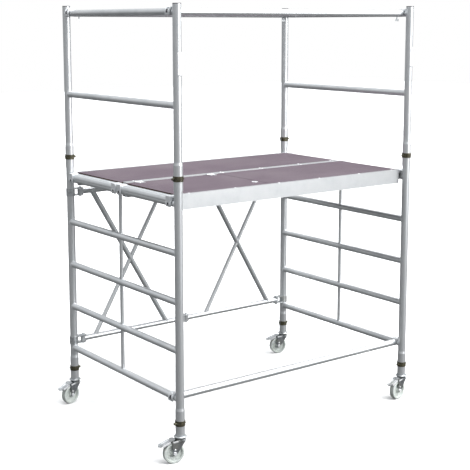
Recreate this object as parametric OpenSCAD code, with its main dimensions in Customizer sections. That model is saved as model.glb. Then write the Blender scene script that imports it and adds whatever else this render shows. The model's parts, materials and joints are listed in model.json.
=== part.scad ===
// Folding frame scaffold bay on castors, with two decks and a guardrail all round.
// Origin: middle of the footprint, on the floor. +X runs along the long side, +Z is up.
// The closed front is at -Y, and the folding gate is at +Y.

/* [Overall] */
// Distance between post centres along the long side
bay_length = 1780; // [1480:10:2140]
// Distance between post centres along the short side
bay_width = 1240; // [1030:10:1490]
// Height from one rung to the next
rung_pitch = 280; // [235:5:335]
// Height of the guardrail above the deck surface
guard_height = 1000; // [840:10:1200]

/* [Tubes] */
// Outside diameter of the posts
post_d = 48; // [40:1:58]
// Wall of the posts
post_wall = 2.5; // [2:0.5:4]
// Outside diameter of the rungs
rung_d = 40; // [34:1:48]
// Wall of the rungs and rails
rung_wall = 2; // [1.5:0.5:3]
// Diameter of the middle stiffener of each end frame
stiffener_d = 22; // [18:1:30]
// Diameter of the guardrails and of the front rail
rail_d = 42; // [36:1:46]

/* [Frame joints] */
// Height of the lowest rung above the foot of the posts
first_rung = 206; // [190:1:240]
// Length of the widened socket at the foot of each post
socket_len = 158; // [130:1:170]
// Height of the locking pin above the foot of its post
lock_height = 68; // [60:1:75]
// Diameter of the locking pins
lock_pin_d = 9; // [7:0.5:11]
// Height of the lock band
band_h = 30; // [24:1:34]

/* [Gate] */
// Diameter of the top and bottom tubes of the gate leaves
gate_tube_d = 36; // [32:1:38]
// Diameter of the through diagonals
diagonal_d = 34; // [28:1:36]
// Diameter of the cut diagonals
cross_diagonal_d = 28; // [22:1:30]
// Height of the bottom gate tube above the lowest rung
gate_rise = 51; // [48:1:60]
// Depth of the top gate tube below the deck rung
gate_drop = 87; // [80:1:110]
// Distance of the gate hinge from its post
gate_hinge_offset = 70; // [66:1:80]
// Diameter of the hinge bolts
hinge_bolt_d = 12; // [10:1:14]

/* [Decks] */
// Height of the side rails of a deck
deck_rail_h = 88; // [80:1:95]
// Thickness of the plywood boards
board_t = 10; // [9:0.5:12]
// Length of the hatch
hatch_length = 675; // [600:5:700]
// Height of the deck surface above the deck rung
deck_rise = 47; // [44:1:50]

/* [Castors] */
// Diameter of the wheels
wheel_d = 125; // [105:1:150]
// Width of the wheel tread
wheel_w = 34; // [30:1:38]
// Distance of the wheel axle from the swivel axis
trail = 42; // [38:1:46]
// Diameter of the wheel axle
axle_d = 12; // [10:1:14]
// Direction of each castor, seen from above, for the back left, front left, front right and back right posts
castor_turn = [193, 168, 188, 163];

/* [Hidden] */

// Segments of a full circle on tubes and on small round pieces
fine = 64;
small = 32;

// Clearances
weld_gap = 0.05;     // between pieces joined by a weld or a rivet, which stay separate solids
seat_gap = 0.3;      // between a piece and the seat it rests on
pin_gap = 0.05;      // radial, around a turning pin
lock_gap = 0.3;      // radial, around a locking pin
claw_play = 3.2;     // each side of a rung in a claw
tip_gap = 6;         // above the tip of a spigot in its socket
side_gap = 0.4;      // between turning faces

// Post positions, and the names of their corners
px = bay_length / 2;
py = bay_width / 2;
POSTS = [[-px, py], [-px, -py], [px, -py], [px, py]];
CORNERS = ["back_left", "front_left", "front_right", "back_right"];

post_r = post_d / 2;
post_bore_r = post_r - post_wall;
socket_bore_r = post_r + seat_gap;
socket_r = socket_bore_r + post_wall - seat_gap;
socket_taper = 16;
rung_r = rung_d / 2;
rung_bore_r = rung_r - rung_wall;
rail_r = rail_d / 2;
rail_bore_r = rail_r - rung_wall;
stiffener_r = stiffener_d / 2;
lock_r = lock_pin_d / 2;

// Castors: heights stack up from the wheel to the foot of the posts
wheel_r = wheel_d / 2;
axle_r = axle_d / 2;
hub_gap = 0.5;
fork_inner = wheel_w / 2 + 4;
fork_t = 3.5;
fork_out = fork_inner + fork_t;
crown_z = wheel_d + 6;
crown_t = 4;
bearing_h = 14;
bearing_top = crown_z + crown_t + bearing_h;
bearing_gap = 0.5;
flange_z = bearing_top + bearing_gap;
flange_t = 8;
flange_r = post_r + 13;
collar_h = 6.5;
king_r = 7;
king_head = 4;
pedal_pin_r = 4;
pedal_hub_r = 7.5;
pedal_x = trail + 10;
pedal_z = crown_z + 3;
pedal_slope = 21;

// Heights
post_foot = flange_z + flange_t + collar_h;
rung_count = 5;
rung_z = [for (i = [0 : rung_count - 1]) post_foot + first_rung + i * rung_pitch];
bottom_rung_z = rung_z[0];
deck_rung_z = rung_z[rung_count - 1];
deck_top = deck_rung_z + deck_rise;
joint_z = deck_rung_z + 74;
guard_top_z = deck_top + guard_height;
guard_mid_z = joint_z + 468;
cap_t = 4;
post_top = guard_top_z + 46;
guard_tube_top = post_top - cap_t;
lower_tube_top = joint_z + socket_len - socket_taper - tip_gap;
gate_low_z = bottom_rung_z + gate_rise;
gate_high_z = deck_rung_z - gate_drop;

// Rails stand just inside the posts
claw_w = 44;
rail_y = py - post_r - 8 - claw_w / 2;

metal = [0.75, 0.77, 0.78];
bright = [0.85, 0.86, 0.87];
zinc = [0.62, 0.65, 0.66];
olive = [0.27, 0.26, 0.2];
nylon = [0.9, 0.92, 0.9];
plywood = [0.55, 0.5, 0.54];
dark_cap = [0.2, 0.18, 0.2];

// ---------------------------------------------------------------- helpers

// Tube along Y, from -half to half
module tube_y(r, bore, half) {
    rotate([90, 0, 0]) difference() {
        cylinder(r = r, h = 2 * half, center = true, $fn = fine);
        cylinder(r = bore, h = 2 * half + 2, center = true, $fn = fine);
    }
}

// Tube along X, from x0 to x1
module tube_x(r, bore, x0, x1) {
    translate([x0, 0, 0]) rotate([0, 90, 0]) difference() {
        cylinder(r = r, h = x1 - x0, $fn = fine);
        translate([0, 0, -1]) cylinder(r = bore, h = x1 - x0 + 2, $fn = fine);
    }
}

// Box between two corners
module block(a, b) {
    translate(a) cube(b - a);
}

// The two posts of the end frame on one side. $row is -1 at the front and 1 at the back.
module at_side_posts(side) {
    for ($row = [-1, 1]) translate([side * px, $row * py, 0]) children();
}

// Turns +Z towards the side that the locking pins are pulled to: -X in front, +X at the back
module pin_way(row) {
    rotate([0, row * 90, 0]) children();
}

// ---------------------------------------------------------------- end frames

// Post with a widened socket at its foot and holes for the locking pins
module socketed_post(length, holes) {
    difference() {
        rotate_extrude($fn = fine) polygon([
            [socket_bore_r, 0], [socket_r, 0], [socket_r, socket_len - socket_taper],
            [post_r, socket_len], [post_r, length], [post_bore_r, length],
            [post_bore_r, socket_len], [socket_bore_r, socket_len - socket_taper]
        ]);
        for (z = holes) translate([0, 0, z]) pin_way($row)
            cylinder(r = lock_r + lock_gap, h = socket_r + 5, $fn = small);
    }
}

module posts(side) {
    color(metal) at_side_posts(side) translate([0, 0, post_foot])
        socketed_post(lower_tube_top - post_foot, [lock_height, joint_z + lock_height - post_foot]);
}

module guard_posts(side) {
    color(metal) at_side_posts(side) translate([0, 0, joint_z])
        socketed_post(guard_tube_top - joint_z, [lock_height]);
}

// Rung, cut to sit on the round of both posts
module rung(side, z) {
    translate([side * px, 0, z]) difference() {
        tube_y(rung_r, rung_bore_r, py);
        for (s = [-1, 1]) translate([0, s * py, -rung_d]) cylinder(r = post_r, h = 2 * rung_d, $fn = fine);
    }
}

module rungs(side) {
    color(metal) for (z = rung_z) rung(side, z);
}

module guard_rungs(side) {
    color(metal) for (z = [guard_mid_z, guard_top_z]) rung(side, z);
}

// Middle stiffener: one length between each pair of rungs
module stiffener(side) {
    color(metal) for (i = [0 : rung_count - 2]) difference() {
        translate([side * px, 0, rung_z[i]]) cylinder(r = stiffener_r, h = rung_pitch, $fn = small);
        for (z = [rung_z[i], rung_z[i + 1]]) translate([side * px, 0, z]) rotate([90, 0, 0])
            cylinder(r = rung_r, h = 2 * stiffener_d, center = true, $fn = fine);
    }
}

module post_caps(side) {
    plug = 20;
    color(dark_cap) at_side_posts(side) translate([0, 0, guard_tube_top])
        rotate_extrude($fn = fine) polygon([
            [0, -plug], [post_bore_r - 0.2, -plug], [post_bore_r - 0.2, 0], [post_r, 0],
            [post_r, cap_t - 1.5], [post_r - 1.5, cap_t], [0, cap_t]
        ]);
}

// Split band around a socket, with a boss that guides the locking pin
band_gap = 0.3;
band_t = 2.7;
band_r = socket_r + band_gap;
boss_r = lock_r + 3.5;
boss_end = band_r + band_t + 4;
module lock_band() {
    split = 8;
    difference() {
        union() {
            translate([0, 0, -band_h / 2]) cylinder(r = band_r + band_t, h = band_h, $fn = fine);
            pin_way($row) cylinder(r = boss_r, h = boss_end, $fn = small);
        }
        cylinder(r = band_r, h = 2 * band_h, center = true, $fn = fine);
        pin_way($row) cylinder(r = lock_r + lock_gap, h = boss_end + 1, $fn = small);
        pin_way(-$row) translate([-band_h, -split / 2, 0]) cube([2 * band_h, split, 2 * band_r]);
    }
}

module lock_bands(side) {
    color(olive) at_side_posts(side) for (z = [post_foot, joint_z])
        translate([0, 0, z + lock_height]) lock_band();
}

// Locking pin with its knob
module lock_pin(post, foot) {
    tip = post_bore_r - 2;
    knob = 7;
    color(olive) translate([post[0], post[1], foot + lock_height]) pin_way(sign(post[1])) {
        translate([0, 0, tip]) cylinder(r = lock_r, h = boss_end + side_gap - tip, $fn = small);
        translate([0, 0, boss_end + side_gap]) cylinder(r = knob, h = 7, $fn = small);
    }
}

// ---------------------------------------------------------------- castors

// Moves local castor shapes (swivel axis at the origin, wheel towards +X) to their post
module at_castor(i) {
    translate([POSTS[i][0], POSTS[i][1], 0]) rotate([0, 0, castor_turn[i]]) children();
}

// Fixed half: flange, spigot up into the post, and the king pin down through the fork
module castor_stem() {
    spigot_top = post_foot + socket_len - socket_taper - tip_gap;
    difference() {
        rotate_extrude($fn = fine) polygon([
            [0, crown_z - 7], [king_r + king_head, crown_z - 7],
            [king_r + king_head, crown_z - seat_gap], [king_r, crown_z - seat_gap],
            [king_r, flange_z], [flange_r - 3, flange_z], [flange_r, flange_z + 2],
            [flange_r, flange_z + flange_t - 3], [flange_r - 3, flange_z + flange_t],
            [socket_r + 1, flange_z + flange_t], [socket_r + 1, post_foot], [post_r, post_foot],
            [post_r, spigot_top], [post_bore_r, spigot_top], [post_bore_r, post_foot + 4],
            [0, post_foot + 4]
        ]);
        translate([0, 0, post_foot + lock_height]) pin_way($row)
            cylinder(r = lock_r + lock_gap, h = post_d, $fn = small);
    }
}

module castor_stems(side) {
    color(zinc) at_side_posts(side) castor_stem();
}

// Tangent point from p to the circle of radius r around c, on the side given by turn
function tangent(p, c, r, turn) =
    let (d = norm(p - c), base = atan2(p[1] - c[1], p[0] - c[0]), a = base + turn * acos(r / d))
    c + r * [cos(a), sin(a)];

// Leg of the fork: it tapers from the crown to the axle, with an ear for the pedal's pin
module fork_leg(y0) {
    eye = 13;
    axle = [trail, wheel_r];
    heel = [-28, crown_z + crown_t];
    toe = [pedal_x + 4, crown_z + crown_t];
    translate([0, y0, 0]) rotate([90, 0, 0]) translate([0, 0, -fork_t]) {
        linear_extrude(fork_t) polygon([
            heel, tangent(heel, axle, eye, 1), axle, tangent(toe, axle, eye, -1), toe
        ]);
        translate([trail, wheel_r, 0]) cylinder(r = eye, h = fork_t, $fn = small);
        translate([pedal_x, pedal_z, 0]) cylinder(r = pedal_pin_r + 5, h = fork_t, $fn = small);
    }
}

module castor_fork(i) {
    color(zinc) at_castor(i) difference() {
        union() {
            translate([0, 0, crown_z]) cylinder(r = flange_r - 4, h = crown_t, $fn = fine);
            translate([0, 0, crown_z]) cylinder(r = flange_r - 8, h = bearing_top - crown_z, $fn = fine);
            fork_leg(fork_inner);
            fork_leg(-fork_out);
        }
        translate([0, 0, crown_z - 1]) cylinder(r = king_r + pin_gap, h = 30, $fn = small);
        translate([trail, 0, wheel_r]) rotate([90, 0, 0])
            cylinder(r = axle_r, h = 100, center = true, $fn = small);
        translate([pedal_x, 0, pedal_z]) rotate([90, 0, 0])
            cylinder(r = pedal_pin_r + pin_gap, h = 100, center = true, $fn = small);
    }
}

// Axle with a hexagon head and nut
module castor_axle(i) {
    head = 6;
    color(bright) at_castor(i) translate([trail, 0, wheel_r]) rotate([90, 0, 0]) {
        cylinder(r = axle_r, h = 2 * fork_out, center = true, $fn = small);
        translate([0, 0, fork_out]) cylinder(r = axle_r + 4, h = head, $fn = 6);
        translate([0, 0, -fork_out - head]) cylinder(r = axle_r + 4, h = head, $fn = 6);
    }
}

// Wheel with a hub, a thin web and a rounded tread
module castor_wheel(i) {
    hub_r = 17;
    rim_r = wheel_r - 13;
    hub_w = fork_inner - hub_gap;
    web = 8;
    edge = 5;
    half = wheel_w / 2;
    color(nylon) at_castor(i) translate([trail, 0, wheel_r]) rotate([90, 0, 0])
        rotate_extrude($fn = fine) polygon([
            [axle_r + pin_gap, -hub_w], [hub_r, -hub_w], [hub_r + 2, -web], [rim_r - 2, -web],
            [rim_r, -half], [wheel_r - edge, -half], [wheel_r - 1.5, -half + 1.5],
            [wheel_r, -half + edge], [wheel_r, half - edge], [wheel_r - 1.5, half - 1.5],
            [wheel_r - edge, half], [rim_r, half], [rim_r - 2, web], [hub_r + 2, web],
            [hub_r, hub_w], [axle_r + pin_gap, hub_w]
        ]);
}

// Brake pedal: a channel that slopes down from the crown, on its pin between the fork's ears
module castor_pedal(i) {
    half_w = fork_inner - side_gap;
    tread_t = 3;
    back = 15;
    run = 80;
    edge_h = 7;
    edge_t = 2.5;
    edge_from = 12;
    tongue = 7;
    color(bright) at_castor(i) translate([pedal_x, 0, pedal_z]) {
        rotate([90, 0, 0]) cylinder(r = pedal_hub_r, h = 2 * half_w, center = true, $fn = small);
        rotate([90, 0, 0]) cylinder(r = pedal_pin_r, h = 2 * fork_out, center = true, $fn = small);
        rotate([0, pedal_slope, 0]) translate([0, 0, pedal_hub_r - tread_t]) {
            block([-back, -half_w, 0], [run, half_w, tread_t]);
            for (s = [-1, 1]) translate([0, s * (half_w - edge_t / 2), 0])
                block([edge_from, -edge_t / 2, 0.5], [run, edge_t / 2, edge_h]);
            block([run - 1, -9, 0.5], [run + tongue, 9, tread_t - 0.5]);
        }
    }
}

// ---------------------------------------------------------------- rails

// Claw over a rung whose centre is the origin. The rail leaves towards +X.
claw_reach = 46;
claw_wall = 7;
spigot_len = 34;
module claw_outline() {
    spread = claw_play - seat_gap;
    outer = rung_r + claw_wall;
    for (x = [-spread, spread]) translate([x, 0, 0]) rotate([90, 0, 0])
        cylinder(r = outer, h = claw_w, center = true, $fn = fine);
    block([-spread, -claw_w / 2, 0], [spread, claw_w / 2, outer]);
    block([-spread - outer, -claw_w / 2, -16], [-spread, claw_w / 2, 0]);
}

// The gap of a claw: round over the rung, straight and open below
module claw_gap(width) {
    spread = claw_play - seat_gap;
    inner = rung_r + seat_gap;
    for (x = [-spread, spread]) translate([x, 0, 0]) rotate([90, 0, 0])
        cylinder(r = inner, h = width, center = true, $fn = fine);
    block([-spread, -width / 2, 0], [spread, width / 2, inner]);
    block([-spread - inner, -width / 2, -60], [spread + inner, width / 2, 0]);
}

module rail_claw() {
    difference() {
        union() {
            claw_outline();
            rotate([0, 90, 0]) cylinder(r = rail_r, h = claw_reach, $fn = fine);
            rotate([0, 90, 0]) cylinder(r = rail_bore_r - 0.2, h = claw_reach + spigot_len, $fn = fine);
        }
        claw_gap(claw_w + 2);
        block([-60, -claw_w, -60], [claw_reach - 8, claw_w, -rail_r]);
    }
}

// Rail between the two end frames: tube and a claw in each end
module rail(y, z) {
    end = px - claw_reach;
    color(metal) translate([0, y, z]) {
        tube_x(rail_r, rail_bore_r, -end + weld_gap, end - weld_gap);
        translate([-px, 0, 0]) rail_claw();
        translate([px, 0, 0]) mirror([1, 0, 0]) rail_claw();
    }
}

// Wing screws under the guardrails, through the tube into the spigot of the claw
screw_x = claw_reach + 14;
module wing_screws(y) {
    shank = 4;
    color(zinc) for (side = [-1, 1])
        translate([side * (px - screw_x), y, guard_top_z - rail_r]) {
            translate([0, 0, -14]) cylinder(r = shank, h = 14, $fn = small);
            translate([0, 0, -18]) cylinder(r = shank + 2, h = 5, $fn = small);
            block([-13, -1.5, -27], [13, 1.5, -14.01]);
        }
}

// ---------------------------------------------------------------- gate

gate_x = px - gate_hinge_offset;
gate_tube_r = gate_tube_d / 2;
gate_bore_r = gate_tube_r - rung_wall;
bolt_r = hinge_bolt_d / 2;
cheek_t = 6;
cheek_in = gate_tube_r + side_gap;
cheek_out = cheek_in + cheek_t;
cheek_half = 20;
cross_x = 450;
cross_half = 285;
web_x = 24;
web_t = 10;

// Bolt with its head and nut through the cheeks of a gate hinge
module hinge_bolt() {
    translate([0, 0, -cheek_out]) cylinder(r = bolt_r, h = 2 * cheek_out, $fn = small);
    translate([0, 0, cheek_out]) cylinder(r = bolt_r + 4, h = 7, $fn = 6);
    translate([0, 0, -cheek_out - 8]) cylinder(r = bolt_r + 4, h = 8, $fn = 6);
}

// Strap around a post with two cheeks that hold the gate hinge, and its bolt
module hinge_bracket(side) {
    strap_t = 4;
    reach = gate_hinge_offset;
    rotate([0, 0, side < 0 ? 0 : 180]) {
        difference() {
            union() {
                translate([0, 0, -cheek_out]) cylinder(r = post_r + strap_t, h = 2 * cheek_out, $fn = fine);
                for (z = [-cheek_out, cheek_in]) {
                    block([0, -cheek_half, z], [reach, cheek_half, z + cheek_t]);
                    translate([reach, 0, z]) cylinder(r = cheek_half, h = cheek_t, $fn = small);
                }
            }
            cylinder(r = post_r + weld_gap, h = 4 * cheek_out, center = true, $fn = fine);
            translate([reach, 0, 0]) cylinder(r = bolt_r, h = 4 * cheek_out, center = true, $fn = small);
        }
        translate([reach, 0, 0]) hinge_bolt();
    }
}

module hinge_brackets(side) {
    color(zinc) for (z = [gate_low_z, gate_high_z]) translate([side * px, py, z]) hinge_bracket(side);
}

// Barrel that turns on a hinge bolt
module gate_eye() {
    difference() {
        cylinder(r = gate_tube_r, h = gate_tube_d, center = true, $fn = fine);
        cylinder(r = bolt_r + pin_gap, h = 2 * gate_tube_d, center = true, $fn = small);
    }
}

// Fork at the middle of the gate, open towards +X, with its bolt line at the origin
module centre_fork() {
    difference() {
        union() {
            block([-web_x - web_t, -cheek_half, -cheek_out], [-web_x, cheek_half, cheek_out]);
            for (z = [-cheek_out, cheek_in]) {
                block([-web_x - 1, -cheek_half, z], [0, cheek_half, z + cheek_t]);
                translate([0, 0, z]) cylinder(r = cheek_half, h = cheek_t, $fn = small);
            }
        }
        cylinder(r = bolt_r, h = 4 * cheek_out, center = true, $fn = small);
    }
}

// Diagonal through the crossing of a leaf, from (-half, high) to (half, low) or mirrored
module diagonal(r, lean) {
    rise = (gate_high_z - gate_low_z) / 2;
    length = 2 * norm([cross_half, rise]);
    rotate([0, lean * atan2(-cross_half, rise), 0]) difference() {
        cylinder(r = r, h = length, center = true, $fn = fine);
        cylinder(r = r - rung_wall, h = length + 2, center = true, $fn = fine);
    }
}

// Top and bottom tubes and the crossed diagonals. The leaf's crossing stands at x = centre.
module leaf_tubes(x0, x1, centre) {
    mid = (gate_low_z + gate_high_z) / 2;
    difference() {
        for (z = [gate_low_z, gate_high_z]) translate([0, py, z])
            tube_x(gate_tube_r, gate_bore_r, x0, x1);
        for (x = [-gate_x, 0, gate_x]) translate([x, py, 0])
            cylinder(r = gate_tube_r + weld_gap, h = gate_high_z + 100, $fn = fine);
    }
    difference() {
        translate([centre, py, mid]) diagonal(diagonal_d / 2, 1);
        leaf_tube_space(x0, x1);
    }
    difference() {
        translate([centre, py, mid]) diagonal(cross_diagonal_d / 2, -1);
        leaf_tube_space(x0, x1);
        translate([centre, py, mid]) rotate([0, atan2(-cross_half, (gate_high_z - gate_low_z) / 2), 0])
            cylinder(r = diagonal_d / 2 + weld_gap, h = 200, center = true, $fn = fine);
    }
}

module leaf_tube_space(x0, x1) {
    for (z = [gate_low_z, gate_high_z]) translate([x0, py, z]) rotate([0, 90, 0])
        cylinder(r = gate_tube_r + weld_gap, h = x1 - x0, $fn = fine);
}

module gate_left_leaf() {
    color(metal) {
        leaf_tubes(-gate_x, -web_x - web_t - weld_gap, -cross_x);
        for (z = [gate_low_z, gate_high_z]) {
            translate([-gate_x, py, z]) gate_eye();
            translate([0, py, z]) centre_fork();
        }
    }
}

module gate_right_leaf() {
    color(metal) {
        leaf_tubes(0, gate_x, cross_x);
        for (z = [gate_low_z, gate_high_z], x = [0, gate_x]) translate([x, py, z]) gate_eye();
    }
}

module gate_centre_bolts() {
    color(zinc) for (z = [gate_low_z, gate_high_z]) translate([0, py, z]) hinge_bolt();
}

// ---------------------------------------------------------------- decks

// All deck shapes are drawn for the back deck, from y = deck_in to deck_out, and mirrored for the front
deck_in = 2.5;
deck_out = py - post_r - 8;
rail_w = 28;
bay_in = deck_in + rail_w + weld_gap;
bay_out = deck_out - rail_w - weld_gap;
lip_t = 22;
rail_wall = 2.5;
rail_end = px - rung_r - 14;
end_out = px - rung_r - 4;
end_in = end_out - 24;
end_h = 50;
board_top = deck_top - 1;
seat_z = board_top - board_t;
rail_low = deck_top - deck_rail_h;
board_end = px - rung_r - 3;
nose_end = px + 15;
nose_low = deck_rung_z + rung_r + 3;
seam_x = hatch_length - board_end + 4;
cross_w = 30;
cross_h = 40;
hinge_line = deck_in + lip_t + 5.5;
hatch_edge = hinge_line + 4;

// Hollow side rail with a lip that frames the board. The lip is on the side given by outer.
module side_rail(y, outer) {
    lip_y = outer > 0 ? y + rail_w - lip_t : y;
    difference() {
        union() {
            block([-rail_end, y, rail_low], [rail_end, y + rail_w, seat_z]);
            block([-rail_end, lip_y, seat_z - 1], [rail_end, lip_y + lip_t, deck_top]);
        }
        block([-rail_end - 1, y + rail_wall, rail_low + rail_wall],
              [rail_end + 1, y + rail_w - rail_wall, seat_z - rail_wall]);
    }
}

// End rail between the side rails, with a nose that reaches over the rung
module end_rail(side) {
    mirror([side < 0 ? 1 : 0, 0, 0]) difference() {
        union() {
            block([end_in, bay_in, seat_z - end_h], [end_out, bay_out, nose_low - weld_gap]);
            block([end_in, bay_in, nose_low], [nose_end, bay_out, seat_z]);
            block([rail_end + weld_gap, deck_in, nose_low], [nose_end, deck_out, seat_z]);
        }
        block([end_in + rail_wall, deck_in, seat_z - end_h + rail_wall],
              [end_out - rail_wall, deck_out, nose_low - rail_wall]);
    }
}

module cross_member(x) {
    difference() {
        block([x - cross_w / 2, bay_in, seat_z - cross_h], [x + cross_w / 2, bay_out, seat_z]);
        block([x - cross_w / 2 + 2, deck_in, seat_z - cross_h + 2], [x + cross_w / 2 - 2, deck_out, seat_z - 2]);
    }
}

module deck_frame(cross_at) {
    side_rail(deck_in, -1);
    side_rail(deck_out - rail_w, 1);
    for (side = [-1, 1]) end_rail(side);
    for (x = cross_at) cross_member(x);
}

module board(x0, x1, y0) {
    block([x0, y0, seat_z], [x1, deck_out - lip_t - 0.4, board_top]);
}

// Claws over the rungs, two at each end, wrapped round the nose of the end rail
deck_claw_w = 42;
claw_inset = 8;
module deck_claws() {
    color(bright) for (side = [-1, 1], y = [deck_in + claw_inset, deck_out - claw_inset - deck_claw_w])
        mirror([side < 0 ? 1 : 0, 0, 0]) translate([px, y + deck_claw_w / 2, deck_rung_z]) difference() {
            union() {
                rotate([90, 0, 0]) cylinder(r = rung_r + 11, h = deck_claw_w, center = true, $fn = fine);
                block([-rung_r, -deck_claw_w / 2, 0], [rung_r + 11, deck_claw_w / 2, seat_z + 6 - deck_rung_z]);
            }
            claw_gap(deck_claw_w + 2);
            block([-60, -60, -60], [0, 60, nose_low - deck_rung_z]);
            block([-60, -60, -60], [end_out - px, 60, 60]);
            block([-60, -60, nose_low - deck_rung_z], [nose_end - px, 60, seat_z - deck_rung_z]);
            block([-60, -60, seat_z - deck_rung_z - 1], [board_end + 1 - px, 60, 60]);
        }
}

front_cross = [seam_x, 340];
back_cross = [-290, 290];

module front_deck_frame() {
    color(bright) mirror([0, 1, 0]) {
        difference() {
            deck_frame(front_cross);
            latch_slot();
        }
        for (x = hatch_hinge_x) hinge_leaf_fixed(x);
    }
}

module back_deck_frame() {
    color(bright) deck_frame(back_cross);
}

module front_deck_board() {
    color(plywood) mirror([0, 1, 0]) board(seam_x + 2, board_end, deck_in + lip_t + 0.4);
}

module back_deck_board() {
    color(plywood) board(-board_end, board_end, deck_in + lip_t + 0.4);
}

module front_deck_claws() {
    mirror([0, 1, 0]) deck_claws();
}

module back_deck_claws() {
    deck_claws();
}

// Hatch: board, two butt hinges along its inner edge, and a turn latch by its free corner
hatch_hinge_x = [87 - board_end, seam_x - 67];
hinge_z = board_top + 1.5;
knuckle_r = 3.4;
knuckle = 16;
latch_x = seam_x - 35;
latch_y = deck_out - 138;
latch_r = 14.6;
latch_reach = 30;

module hatch_board() {
    color(plywood) mirror([0, 1, 0]) difference() {
        board(-board_end, seam_x - 2, hatch_edge);
        translate([latch_x, latch_y, 0]) cylinder(r = latch_r + 0.4, h = deck_top + 10, $fn = small);
    }
}

module knuckle_tube(x, bore) {
    translate([x, hinge_line, hinge_z]) rotate([0, 90, 0]) difference() {
        cylinder(r = knuckle_r, h = knuckle, center = true, $fn = small);
        if (bore) cylinder(r = 1.65, h = 2 * knuckle, center = true, $fn = small);
    }
}

// Leaf on the lip of the inner side rail, with the middle knuckle
module hinge_leaf_fixed(x) {
    difference() {
        union() {
            translate([x, 0, 0]) block([-knuckle / 2, deck_in, deck_top], [knuckle / 2, hinge_line, deck_top + 2]);
            knuckle_tube(x, false);
        }
        translate([x, hinge_line, hinge_z]) rotate([0, 90, 0])
            cylinder(r = 1.65, h = 2 * knuckle, center = true, $fn = small);
    }
}

// Leaf on the hatch, with the outer knuckles and the pin
module hatch_hinges() {
    leaf = 44;
    outer = knuckle + side_gap;
    color(zinc) mirror([0, 1, 0]) for (x = hatch_hinge_x) {
        difference() {
            union() {
                for (s = [-1, 1]) knuckle_tube(x + s * outer, false);
                translate([x, 0, 0]) for (s = [-1, 1])
                    block([s * outer - knuckle / 2, hinge_line, board_top],
                          [s * outer + knuckle / 2, hinge_line + leaf, board_top + 2]);
                translate([x, 0, 0]) block([-outer, hinge_line + 6, board_top],
                                           [outer, hinge_line + leaf, board_top + 2]);
            }
            translate([x, 0, 0]) block([-knuckle / 2 - side_gap, hinge_line - 6, board_top - 10],
                                       [knuckle / 2 + side_gap, hinge_line + 6, board_top + 10]);
        }
        translate([x, hinge_line, hinge_z]) rotate([0, 90, 0])
            cylinder(r = 1.6, h = 3 * knuckle, center = true, $fn = small);
    }
}

// Slot in the cross member that takes the latch tongue
module latch_slot() {
    block([seam_x - cross_w, latch_y - 10, seat_z - 9], [seam_x - 2, latch_y + latch_reach + 4, seat_z - 1]);
}

// Turn latch, drawn open: its tongue lies along the cross member
module hatch_latch() {
    tongue_w = 14;
    color(zinc) mirror([0, 1, 0]) translate([latch_x, latch_y, 0]) {
        translate([0, 0, seat_z - 2]) cylinder(r = latch_r, h = board_t + 2, $fn = small);
        block([-tongue_w / 2, 0, seat_z - 7], [tongue_w / 2, latch_reach, seat_z - 2]);
        translate([0, 0, seat_z - 7]) cylinder(r = tongue_w / 2, h = 6, $fn = small);
        block([-2.5, -11, board_top - 1], [2.5, 11, board_top + 3]);
    }
}

// ---------------------------------------------------------------- nodes

posts(-1);  // left_posts
rungs(-1);  // left_rungs
stiffener(-1);  // left_stiffener
guard_posts(-1);  // left_guard_posts
guard_rungs(-1);  // left_guard_rungs
post_caps(-1);  // left_post_caps
lock_bands(-1);  // left_lock_bands
castor_stems(-1);  // left_castor_stems
hinge_brackets(-1);  // left_hinge_brackets
posts(1);  // right_posts
rungs(1);  // right_rungs
stiffener(1);  // right_stiffener
guard_posts(1);  // right_guard_posts
guard_rungs(1);  // right_guard_rungs
post_caps(1);  // right_post_caps
lock_bands(1);  // right_lock_bands
castor_stems(1);  // right_castor_stems
hinge_brackets(1);  // right_hinge_brackets
gate_left_leaf();
gate_right_leaf();
gate_centre_bolts();
rail(-rail_y, bottom_rung_z);  // front_rail
rail(-rail_y, guard_top_z);  // front_guardrail
rail(rail_y, guard_top_z);  // back_guardrail
wing_screws(-rail_y);  // front_guardrail_screws
wing_screws(rail_y);  // back_guardrail_screws
front_deck_frame();
front_deck_board();
front_deck_claws();
hatch_board();
hatch_hinges();
hatch_latch();
back_deck_frame();
back_deck_board();
back_deck_claws();
for (i = [0 : 3]) {
    castor_fork(i);
    castor_axle(i);
    castor_wheel(i);
    castor_pedal(i);
    lock_pin(POSTS[i], post_foot);
    lock_pin(POSTS[i], joint_z);
}
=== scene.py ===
import json
import math

import bmesh
import bpy
from mathutils import Matrix, Vector


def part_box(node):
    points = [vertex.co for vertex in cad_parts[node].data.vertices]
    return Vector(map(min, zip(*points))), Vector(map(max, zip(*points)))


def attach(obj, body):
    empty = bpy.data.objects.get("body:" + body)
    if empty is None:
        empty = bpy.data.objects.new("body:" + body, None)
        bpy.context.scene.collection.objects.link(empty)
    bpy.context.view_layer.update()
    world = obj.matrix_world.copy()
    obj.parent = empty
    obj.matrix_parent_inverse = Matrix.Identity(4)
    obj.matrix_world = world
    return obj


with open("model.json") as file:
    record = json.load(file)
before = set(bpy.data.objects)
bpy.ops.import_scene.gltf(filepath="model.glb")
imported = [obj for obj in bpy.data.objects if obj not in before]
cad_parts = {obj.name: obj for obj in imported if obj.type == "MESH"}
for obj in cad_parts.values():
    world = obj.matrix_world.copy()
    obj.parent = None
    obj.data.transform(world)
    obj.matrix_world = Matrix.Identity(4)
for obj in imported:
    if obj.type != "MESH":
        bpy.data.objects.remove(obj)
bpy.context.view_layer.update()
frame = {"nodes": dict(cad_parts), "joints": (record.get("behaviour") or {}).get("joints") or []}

# ------------------------------------------------------------------ places taken from the frame, in metres

MM = 0.001
SIDES = {"left": -1, "right": 1}
CORNERS = ("back_left", "front_left", "front_right", "back_right")
JOINTS = {j["name"]: j for j in frame["joints"]}
UP = Vector((0, 0, 1))

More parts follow.
